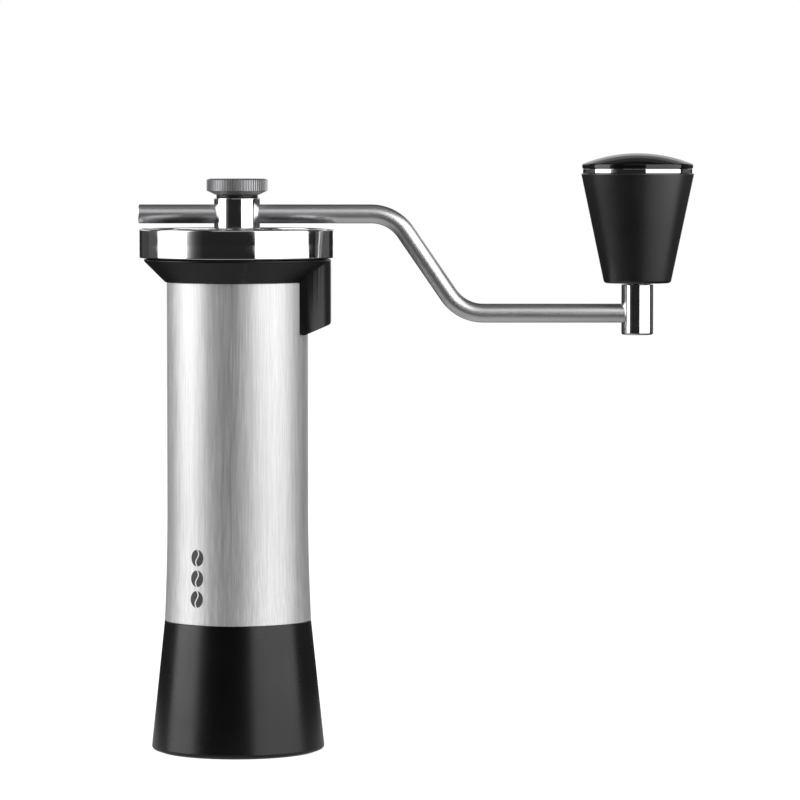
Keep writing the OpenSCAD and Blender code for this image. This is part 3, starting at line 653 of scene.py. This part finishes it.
# %% Body tube
TUBE_Z = low("body_tube", "z")
TUBE_TOP = high("body_tube", "z")
FLARE_H = 50.6
BORE_R = 28.1
flare_rise = RIM_R - TUBE_R
flare_arc = (FLARE_H ** 2 + flare_rise ** 2) / (2 * flare_rise)


def flare(z):
    """The tube's outer radius at height z."""
    below = max(TUBE_Z + FLARE_H - z, 0)
    return TUBE_R + flare_arc - math.sqrt(flare_arc ** 2 - below ** 2)


FLARE_STEPS = 14
SHOULDER_Z = TUBE_Z + 7.1
flare_levels = [TUBE_Z + FLARE_H * i / FLARE_STEPS for i in range(1, FLARE_STEPS + 1)]
tube_finish = brushed_tube()
finished("tube_shell", spun([
    (RIM_R, TUBE_Z, 0.3), *((flare(z), z, 0) for z in flare_levels), (TUBE_R, TUBE_TOP, 0.2),
    (BORE_R, TUBE_TOP, 0.2), (BORE_R, SHOULDER_Z, 0.1), (NOSE_R + 0.05, SHOULDER_Z, 0.1),
    (NOSE_R + 0.05, TUBE_Z, 0.2),
], steps=192), "body", tube_finish, ["body_tube"])

# %% [markdown]
# ## Printed mark
#
# A small print sits low on the tube, a little to the left. Ours is a column of three coffee beans. Each
# bean is two halves with a wavy slit between them. They are drawn flat, in millimetres round the tube and
# up it. `on_tube` rolls the drawing on to the tube, and `thickened` makes it a thin solid sunk into the
# steel, so that only a coat of ink stands proud.

# %% Print
COLUMNS = 4


def strip(mesh, place, left, right, levels):
    """Adds the faces between two lines of a drawing; left and right give u at height v."""
    rows = []
    for v in levels:
        width = right(v) - left(v)
        rows.append([mesh.verts.new(place(left(v) + width * k / COLUMNS, v)) for k in range(COLUMNS + 1)])
    for lower, upper in zip(rows, rows[1:]):
        for k in range(COLUMNS):
            mesh.faces.new((lower[k], lower[k + 1], upper[k + 1], upper[k]))


def thickened(mesh, depth):
    """Thickens a drawing that lies on an upright cylinder: its copy is pushed inwards by depth."""
    made = bmesh.ops.extrude_face_region(mesh, geom=mesh.faces[:])["geom"]
    for v in [g for g in made if isinstance(g, bmesh.types.BMVert)]:
        out = Vector((v.co.x, v.co.y, 0)).normalized()
        v.co -= out * depth * MM
    return mesh


MARK_TURN = math.radians(-32.5)
MARK_Z = TUBE_Z + 19.5
BEAN_W, BEAN_H, BEAN_STEP = 3.0, 3.5, 8.6
SLIT_HALF = 0.3
SLIT_WAVE = 0.7
INK_DEPTH = 0.12
INK_PROUD = 0.02


def on_tube(u, v):
    """A point u mm round from the mark's middle and v mm above it, just proud of the steel."""
    radius = flare(MARK_Z + v) + INK_PROUD
    turn = MARK_TURN + u / TUBE_R
    return (radius * math.sin(turn) * MM, -radius * math.cos(turn) * MM, (MARK_Z + v) * MM)


def bean(mesh, middle):
    """Draws one bean, an ellipse with a wavy slit up its middle."""
    def half_width(v):
        return BEAN_W * math.sqrt(max(1 - ((v - middle) / BEAN_H) ** 2, 0))

    def slit(v):
        return SLIT_WAVE * math.sin(math.pi * (v - middle) / BEAN_H)

    levels = [middle + 0.985 * BEAN_H * math.sin(math.radians(t)) for t in range(-90, 91, 10)]
    strip(mesh, on_tube, lambda v: -half_width(v), lambda v: max(slit(v) - SLIT_HALF, -half_width(v)), levels)
    strip(mesh, on_tube, lambda v: min(slit(v) + SLIT_HALF, half_width(v)), half_width, levels)


beans = bmesh.new()
for middle in (-BEAN_STEP, 0, BEAN_STEP):
    bean(beans, middle)
ink = rubber("ink", (0.05, 0.05, 0.052), 0.45)
finished("bean_mark", thickened(beans, INK_DEPTH), "body", ink, [])

# %% [markdown]
# ## Collar and thumb rest
#
# The collar is moulded in one piece with the thumb rest: a 45 degree cone that carries the ring, and a
# block with round corners that the thumb pushes against. The cone is turned like the pieces above, with a
# soft lower corner.

# %% Cone of the collar
COLLAR_Z = TUBE_TOP - 4.9
COLLAR_R = RING_R - 1.6
CONE_R = TUBE_R + 0.7
SPIGOT_R = 33.4
SPIGOT_BORE_R = 31.4
SEAT_OUT_R = SPIGOT_R + 4
LEDGE_Z = low("upper_bridge", "z") + 6.5
GAP_H = 0.7
HAIR = 0.02
MOULDED = (0.003, 0.003, 0.0034)
moulded_black = satin_black("moulded_black", 0.3, 0.38, 0.000008, colour=MOULDED)
cone = spun([
    (TUBE_R + 0.03, COLLAR_Z, 0.1), (CONE_R, COLLAR_Z, 1.2), (COLLAR_R, COLLAR_Z + COLLAR_R - CONE_R, 0.8),
    (COLLAR_R - 0.3, RING_Z - GAP_H, 0.2), (SEAT_OUT_R, RING_Z - GAP_H, 0), (SEAT_OUT_R, RING_Z - HAIR, 0),
    (SPIGOT_R, RING_Z - HAIR, 0), (SPIGOT_R, LEDGE_Z - 0.6, 0.3), (SPIGOT_BORE_R, LEDGE_Z - 0.6, 0.3),
    (BORE_R + 0.05, TUBE_TOP + HAIR, 0), (TUBE_R + 0.03, TUBE_TOP + HAIR, 0),
], steps=160)
collar = finished("collar_and_rest", cone, "body", moulded_black, ["grip_collar"])

# %% [markdown]
# The block is a rounded plan extruded upwards and sliced off by a sloping plane below. Its two lower edges
# are softer than a bevel can make them between curved walls. So each is cut again by a few planes that all
# touch one arc, the way a whittler rounds a corner, and each cut is closed before the next.

# %% Thumb rest
REST_Z = low("grip_collar", "z")
REST_HALF = 13.5
REST_ROUND = 10
REST_SLOPE = math.radians(22.6)


def block(corners, bottom, top):
    """A bmesh extruded upwards from a rounded plan in millimetres."""
    mesh = bmesh.new()
    outline = [mesh.verts.new((p.x * MM, p.y * MM, bottom * MM)) for p in rounded(corners, True, 28)]
    plan = mesh.faces.new(outline)
    raised = bmesh.ops.extrude_face_region(mesh, geom=[plan])
    bmesh.ops.translate(mesh, vec=(0, 0, (top - bottom) * MM),
                        verts=[v for v in raised["geom"] if isinstance(v, bmesh.types.BMVert)])
    return mesh


REST_R = COLLAR_R - 0.05
REST_BACK = 20
rest = block([
    (REST_BACK, -REST_HALF, 0), (REST_R, -REST_HALF, REST_ROUND), (REST_R, REST_HALF, REST_ROUND),
    (REST_BACK, REST_HALF, 0),
], REST_Z - 8, RING_Z - 1.1)
SLOPE_X = TUBE_R - 1.4
SLOPE_ANGLE = math.pi / 2 + REST_SLOPE
LIP_IN = 1.8
LIP_OUT = 1.2
LIP_STEPS = 8


def sliced(mesh, point, angle):
    """Cuts a bulging solid with a plane along Y, keeps the side that angle points to, and closes the cut."""
    cut = bmesh.ops.bisect_plane(mesh, geom=mesh.verts[:] + mesh.edges[:] + mesh.faces[:],
                                 plane_co=(point.x * MM, 0, point.y * MM),
                                 plane_no=(math.cos(angle), 0, math.sin(angle)), clear_inner=True)
    bmesh.ops.contextual_create(mesh, geom=[e for e in cut["geom_cut"] if isinstance(e, bmesh.types.BMEdge)])


def lip(mesh, x, wall_angle, radius):
    """Rounds the edge between the underside and an upright wall at x, with cuts that all touch one arc."""
    middle_x = x + radius * math.cos(wall_angle)
    rise = (radius + math.sin(REST_SLOPE) * (middle_x - SLOPE_X)) / math.cos(REST_SLOPE)
    middle = Vector((middle_x, REST_Z + rise))
    for k in range(1, LIP_STEPS):
        angle = SLOPE_ANGLE + (wall_angle - SLOPE_ANGLE) * k / LIP_STEPS
        sliced(mesh, middle - radius * Vector((math.cos(angle), math.sin(angle))), angle)


sliced(rest, Vector((SLOPE_X, REST_Z)), SLOPE_ANGLE)
lip(rest, math.sqrt(TUBE_R ** 2 - REST_HALF ** 2), 0, LIP_IN)
lip(rest, REST_R, math.pi, LIP_OUT)
print("thumb rest is", 2 * REST_HALF, "mm wide and reaches", round(COLLAR_R, 1), "mm from the axis")

# %% [markdown]
# Two Booleans finish the moulding. A difference first takes the tube's own cylinder out of the block, and a
# union then joins the block to the cone, which keeps the crisp line where the cone runs into it. Each is
# applied at once and its tool deleted, so that only the finished mesh is left.

# %% Joining them
def carve(piece, tool, operation):
    """Applies a Boolean to a piece's mesh, ahead of its shading modifier, and deletes the tool."""
    piece.modifiers.clear()
    step = piece.modifiers.new("cut", "BOOLEAN")
    step.object = tool
    step.operation = operation
    step.solver = "EXACT"
    result = bpy.data.meshes.new_from_object(piece.evaluated_get(bpy.context.evaluated_depsgraph_get()))
    piece.modifiers.clear()
    old = piece.data
    result.name = old.name + "_cut"
    piece.data = result
    bpy.data.meshes.remove(old)
    bpy.data.objects.remove(tool)
    shaded(piece)


rest_block = placed("rest", rest)
CORE_R = TUBE_R + 0.1
core = placed("core", spun([
    (0, REST_Z - 10, 0), (CORE_R, REST_Z - 10, 0), (CORE_R, RING_Z + 1, 0), (0, RING_Z + 1, 0),
], closed=False, steps=150))
carve(rest_block, core, "DIFFERENCE")
carve(collar, rest_block, "UNION")
print(collar.name, "has", len(collar.data.polygons), "faces after the cuts")

# %% [markdown]
# ## Top ring
#
# A heavy polished ring closes the mouth. Its edges are broken by small radii that catch the light as thin
# lines, and inside it a ledge carries the bearing bridge.

# %% Top ring
RING_TOP = high("top_ring", "z")
MOUTH_R = RING_R - 3.1
mirror_steel = polished_steel()
finished("ring_shell", spun([
    (SPIGOT_R + 0.05, RING_Z, 0.2), (RING_R, RING_Z, 0.55), (RING_R, RING_TOP, 0.7), (MOUTH_R, RING_TOP, 0.6),
    (MOUTH_R, LEDGE_Z, 0.1), (SPIGOT_R + 0.05, LEDGE_Z, 0.2),
], steps=192), "body", mirror_steel, ["top_ring"])

# %% [markdown]
# ## Hub, rod and post
#
# The crank is bent from round bar. The hub clamps it over the axle and the post carries the knob. Hub and
# post are turned and polished, and their corners are broken on the lathe.

# %% Hub and post
HUB_R = high("crank_hub", "x")
HUB_Z = low("crank_hub", "z")
HUB_TOP = high("crank_hub", "z")
POST_R = (high("crank_post", "x") - low("crank_post", "x")) / 2
POST_Z = low("crank_post", "z")
POST_TOP = high("crank_post", "z")
finished("hub_shell", spun([
    (0, HUB_Z, 0), (HUB_R, HUB_Z, 0.6), (HUB_R, HUB_TOP, 0.6), (0, HUB_TOP, 0),
], closed=False, steps=96), "crank", mirror_steel, ["crank_hub"])
post_steel = polished_steel("polished_post", KNOB_AXIS)
finished("post_shell", spun([
    (0, POST_Z, 0), (POST_R, POST_Z, 0.9), (POST_R, POST_TOP, 0.4), (0, POST_TOP, 0),
], closed=False, x=KNOB_X, steps=96), "crank", post_steel, ["crank_post"])

# %% [markdown]
# The rod starts as a circle that is extruded along the straight runs and spun round the two bends, just as
# a pipe bender would work. Its free end has a small round edge, made of a few short extrusions that grow
# the circle. Each ring of points also keeps its place in the straight bar, in the attribute rod_place, so
# that the drawn streaks run along the bar and turn with its bends.

# %% Crank rod
ROD_R = 4
ROD_EDGE = 0.5
ROD_SIDES = 64
TAIL_X = low("crank_rod", "x")
ROD_Z = high("crank_rod", "z") - ROD_R
LOW_ROD_Z = low("crank_rod", "z") + ROD_R
SLOPE = math.radians(55.5)
BEND_X = 65.4
BEND_R = 17.5
reach = BEND_R * math.tan(SLOPE / 2)
drop = ROD_Z - LOW_ROD_Z
slope_length = drop / math.sin(SLOPE) - 2 * reach
low_bend_x = BEND_X + drop / math.tan(SLOPE) + reach

def extruded(mesh, edges, vector, grow=1.0, centre=(0, 0, 0)):
    """Extrudes a loop of edges along a vector and returns the new loop. grow scales it about centre."""
    made = bmesh.ops.extrude_edge_only(mesh, edges=edges)["geom"]
    verts = [g for g in made if isinstance(g, bmesh.types.BMVert)]
    bmesh.ops.translate(mesh, verts=verts, vec=vector)
    if grow != 1.0:
        home = Matrix.Translation(-(Vector(centre) + Vector(vector)))
        bmesh.ops.scale(mesh, verts=verts, vec=(grow,) * 3, space=home)
    return [g for g in made if isinstance(g, bmesh.types.BMEdge)]


def bent(mesh, edges, centre, angle, steps=20):
    """Spins a loop of edges round an upright bend, about an axis along Y, and returns the new loop."""
    verts = list({v for e in edges for v in e.verts})
    made = bmesh.ops.spin(mesh, geom=verts + edges, cent=centre, axis=(0, 1, 0), angle=angle, steps=steps)
    return [g for g in made["geom_last"] if isinstance(g, bmesh.types.BMEdge)]


rod = bmesh.new()
start = bmesh.ops.create_circle(rod, cap_ends=True, segments=ROD_SIDES, radius=(ROD_R - ROD_EDGE) * MM)
bmesh.ops.rotate(rod, verts=start["verts"], cent=(0, 0, 0), matrix=Matrix.Rotation(math.pi / 2, 3, "Y"))
bmesh.ops.translate(rod, verts=start["verts"], vec=(TAIL_X * MM, 0, ROD_Z * MM))
EDGE_STEPS = 4
loop = rod.edges[:]
for k in range(EDGE_STEPS):
    here, there = (math.pi / 2 * n / EDGE_STEPS for n in (k, k + 1))
    r_here, r_there = (ROD_R - ROD_EDGE + ROD_EDGE * math.sin(t) for t in (here, there))
    along = ROD_EDGE * (math.cos(here) - math.cos(there))
    centre = ((TAIL_X + ROD_EDGE * (1 - math.cos(here))) * MM, 0, ROD_Z * MM)
    loop = extruded(rod, loop, (along * MM, 0, 0), r_there / r_here, centre)
loop = extruded(rod, loop, ((BEND_X - reach - TAIL_X - ROD_EDGE) * MM, 0, 0))
loop = bent(rod, loop, ((BEND_X - reach) * MM, 0, (ROD_Z - BEND_R) * MM), SLOPE)
loop = extruded(rod, loop, (slope_length * MM * math.cos(SLOPE), 0, -slope_length * MM * math.sin(SLOPE)))
loop = bent(rod, loop, (low_bend_x * MM, 0, (LOW_ROD_Z + BEND_R) * MM), -SLOPE)
loop = extruded(rod, loop, ((KNOB_X - low_bend_x) * MM, 0, 0))
rod_place = rod.verts.layers.float_vector.new("rod_place")
rod.verts.ensure_lookup_table()
travelled = 0
middle_before = Vector((TAIL_X * MM, 0, ROD_Z * MM))
for k in range(0, len(rod.verts), ROD_SIDES):
    ring = rod.verts[k:k + ROD_SIDES]
    middle = sum((v.co for v in ring), Vector()) / ROD_SIDES
    travelled += (middle - middle_before).length
    middle_before = middle
    for v in ring:
        x, y, z = v.co - middle
        v[rod_place] = (travelled, y, math.copysign(math.hypot(x, z), z))
print("the rod's bar is", round(travelled / MM, 1), "mm long before bending")
bmesh.ops.contextual_create(rod, geom=loop)
rod_finish = drawn_rod()
finished("rod_bar", rod, "crank", rod_finish, ["crank_rod"])

# %% [markdown]
# ## Thumb screw
#
# The screw's head is knurled: straight teeth that fingers can grip. A circle with four points to a tooth is
# enough, two pushed out and two left in. Extrusions raise it and draw it in at both ends, like the chamfer
# that a knurl is given. Inside the teeth is a turned core, dished on top and a cone below.

# %% Thumb screw and washer
TEETH = 72
HEAD_R = (high("thumb_screw", "x") - low("thumb_screw", "x")) / 2
HEAD_TOP = high("thumb_screw", "z")
HEAD_LOW = high("lock_washer", "z")
SCREW_LOW = low("thumb_screw", "z")
STEM_R = 2
CONE_TOP = HEAD_LOW + 1.6
TOOTH = 0.42
VALLEY_R = HEAD_R - TOOTH
CORE_IN_R = VALLEY_R - 0.1
KNURL_LOW = CONE_TOP + 0.15
KNURL_TOP = HEAD_TOP - 0.6

screw = spun([
    (0, SCREW_LOW, 0), (STEM_R, SCREW_LOW, 0.3), (STEM_R, HEAD_LOW, 0), (9, HEAD_LOW, 0.3),
    (CORE_IN_R, CONE_TOP, 0.1), (CORE_IN_R, HEAD_TOP - 0.5, 0), (HEAD_R - 1.2, HEAD_TOP, 0.3),
    (HEAD_R - 3, HEAD_TOP, 0.3), (HEAD_R - 3.6, HEAD_TOP - 0.6, 0.3), (0, HEAD_TOP - 0.7, 0),
], closed=False, steps=144)
ring = bmesh.ops.create_circle(screw, cap_ends=False, segments=4 * TEETH, radius=VALLEY_R * MM)["verts"]
tips = [v for k, v in enumerate(ring) if k % 4 in (0, 1)]
bmesh.ops.scale(screw, verts=tips, vec=(HEAD_R / VALLEY_R,) * 3)
bmesh.ops.translate(screw, verts=ring, vec=(0, 0, KNURL_LOW * MM))
loop = list({e for v in ring for e in v.link_edges})
below = extruded(screw, loop, (0, 0, -0.15 * MM), 0.975, (0, 0, KNURL_LOW * MM))
above = extruded(screw, loop, (0, 0, (KNURL_TOP - KNURL_LOW) * MM))
above = extruded(screw, above, (0, 0, 0.35 * MM), 0.955, (0, 0, KNURL_TOP * MM))
bmesh.ops.contextual_create(screw, geom=above)
bmesh.ops.contextual_create(screw, geom=below)
screw_steel = turned_steel("screw_steel", (0.48, 0.48, 0.49), smooth=0.42, rough=0.55)
finished("knurled_screw", screw, "thumb_screw", screw_steel, ["thumb_screw"])
washer_black = satin_black("washer_black", 0.3, 0.45, 0.000006, colour=(0.002, 0.002, 0.0023))
WASHER_R = high("lock_washer", "x")
WASHER_Z = low("lock_washer", "z")
WASHER_BORE_R = 2.3
finished("washer", spun([
    (WASHER_BORE_R, WASHER_Z, 0.1), (WASHER_R, WASHER_Z, 0.25), (WASHER_R, HEAD_LOW, 0.25),
    (WASHER_BORE_R, HEAD_LOW, 0.1),
], steps=96), "lock_washer", washer_black, ["lock_washer"])

# %% [markdown]
# ## Knob
#
# The grip widens towards the top, so that the palm can rest on the cap. It is moulded black with a polished
# trim ring let in under a gloss black cap, which is a shallow dome. The dome's outline is an arc.

# %% Knob
GRIP_Z = low("knob_grip", "z")
GRIP_TOP = high("knob_grip", "z")
GRIP_R = (high("knob_grip", "x") - low("knob_grip", "x")) / 2
TRIM_R = (high("knob_ring", "x") - low("knob_ring", "x")) / 2
TRIM_TOP = high("knob_ring", "z")
CAP_R = (high("knob_cap", "x") - low("knob_cap", "x")) / 2
CAP_TOP = high("knob_cap", "z")
DOME_H = 4.6
SEAT_R = 19
KNOB_FOOT_R = 14
GRIP_BORE_R = 6
WELL_R = 16
WELL_Z = GRIP_Z + 33.3
SEAT_Z = GRIP_TOP - 4.8
grip_black = satin_black("grip_black", 0.3, 0.38, 0.000008, colour=MOULDED, centre=KNOB_AXIS, ior=1.85)
finished("grip_shell", spun([
    (GRIP_BORE_R, GRIP_Z, 0.3), (KNOB_FOOT_R, GRIP_Z, 1.4), (GRIP_R, GRIP_TOP, 0.45), (SEAT_R, GRIP_TOP, 0.2),
    (SEAT_R, SEAT_Z, 0.2), (WELL_R, SEAT_Z, 0), (WELL_R, WELL_Z, 0), (GRIP_BORE_R, WELL_Z, 0),
], x=KNOB_X, steps=160), "knob", grip_black, ["knob_grip"])
finished("trim_ring", spun([
    (SEAT_R, GRIP_TOP, 0.1), (TRIM_R, GRIP_TOP, 0.25), (TRIM_R, TRIM_TOP, 0.25), (SEAT_R, TRIM_TOP, 0.1),
], x=KNOB_X, steps=160), "knob", post_steel, ["knob_ring"])

dome_r = (CAP_R ** 2 + DOME_H ** 2) / (2 * DOME_H)
dome_edge = math.asin(CAP_R / dome_r)
DOME_STEPS = 16
CAP_SKIRT_Z = SEAT_Z + 0.3


def dome_point(angle, radius=0):
    return (dome_r * math.sin(angle), CAP_TOP - dome_r * (1 - math.cos(angle)), radius)


dome = [dome_point(dome_edge * (1 - k / DOME_STEPS)) for k in range(1, DOME_STEPS + 1)]
cap_black = gloss_black()
finished("cap_dome", spun([
    (0, TRIM_TOP, 0), (SEAT_R - 2, TRIM_TOP, 0), (SEAT_R - 2, CAP_SKIRT_Z, 0.2),
    (SEAT_R - 0.05, CAP_SKIRT_Z, 0.2), (SEAT_R - 0.05, TRIM_TOP, 0), (CAP_R, TRIM_TOP, 0.3),
    dome_point(dome_edge, 0.6), *dome,
], closed=False, x=KNOB_X, steps=160), "knob", cap_black, ["knob_cap"])

# %% [markdown]
# ## Inner pieces
#
# The bearings, burrs, screws and the click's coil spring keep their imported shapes, which are already right.
# They only need their finishes, so a table names the finish of each node.

# %% Finishes of the inner pieces
steel = turned_steel()
ball_steel = turned_steel("ball_steel", (0.72, 0.72, 0.73), smooth=0.05, rough=0.1)
spring_steel = turned_steel("spring_steel", (0.42, 0.42, 0.44), smooth=0.25, rough=0.4)
aluminium = machined_aluminium()
oxide = black_oxide()
burr = burr_steel()
# The bushes' bronze is painted dark to stand for the shade under the grip.
bush_bronze_in_shade = shade_dark_bronze()
dial_black = satin_black("dial_black", 0.3, 0.42, 0.000008, colour=(0.012, 0.012, 0.013))
INNER = {
    steel: ["upper_bearing_outer_ring", "upper_bearing_inner_ring", "lower_bearing_outer_ring",
            "lower_bearing_inner_ring", "axle", "hub_spacer", "guide_pins", "drive_pin", "bridge_screws",
            "burr_washer", "burr_bolt", "knob_spindle", "knob_washer", "knob_screw", "cup_magnets",
            "upper_bearing_shields", "lower_bearing_shields"],
    ball_steel: ["upper_bearing_balls", "lower_bearing_balls", "click_ball"],
    spring_steel: ["click_spring"],
    aluminium: ["upper_bridge", "lower_bridge", "burr_housing", "burr_carrier"],
    oxide: ["ring_circlip", "axle_clip", "burr_lock_ring"],
    burr: ["inner_burr", "outer_burr"],
    bush_bronze_in_shade: ["knob_bush_lower", "knob_bush_upper"],
    dial_black: ["adjusting_ring"],
}
for finish, nodes in INNER.items():
    for node in nodes:
        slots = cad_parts[node].data.materials
        slots.clear()
        slots.append(finish)
print("inner pieces:", sum(map(len, INNER.values())))

# %% [markdown]
# One inner piece is made anew: the waved washer that pushes the burr carrier down, and that the carrier
# squeezes when it rises. A flat ring is turned first and every point is then lifted by the wave at its
# angle.

# %% Carrier spring
SPRING_R = high("carrier_spring", "x")
SPRING_LOW = low("carrier_spring", "z")
SPRING_TOP = high("carrier_spring", "z")
SPRING_WIDTH = 1.2
SPRING_T = 0.3
WAVES = 4
WAVE_H = SPRING_TOP - SPRING_LOW - SPRING_T
ribbon = spun([
    (SPRING_R - SPRING_WIDTH, SPRING_LOW, 0), (SPRING_R, SPRING_LOW, 0), (SPRING_R, SPRING_LOW + SPRING_T, 0),
    (SPRING_R - SPRING_WIDTH, SPRING_LOW + SPRING_T, 0),
], steps=192)
for v in ribbon.verts:
    v.co.z += WAVE_H * (0.5 + 0.5 * math.cos(WAVES * math.atan2(v.co.y, v.co.x))) * MM
spring = finished("wave_spring", ribbon, "body", spring_steel, ["carrier_spring"])
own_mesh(spring)
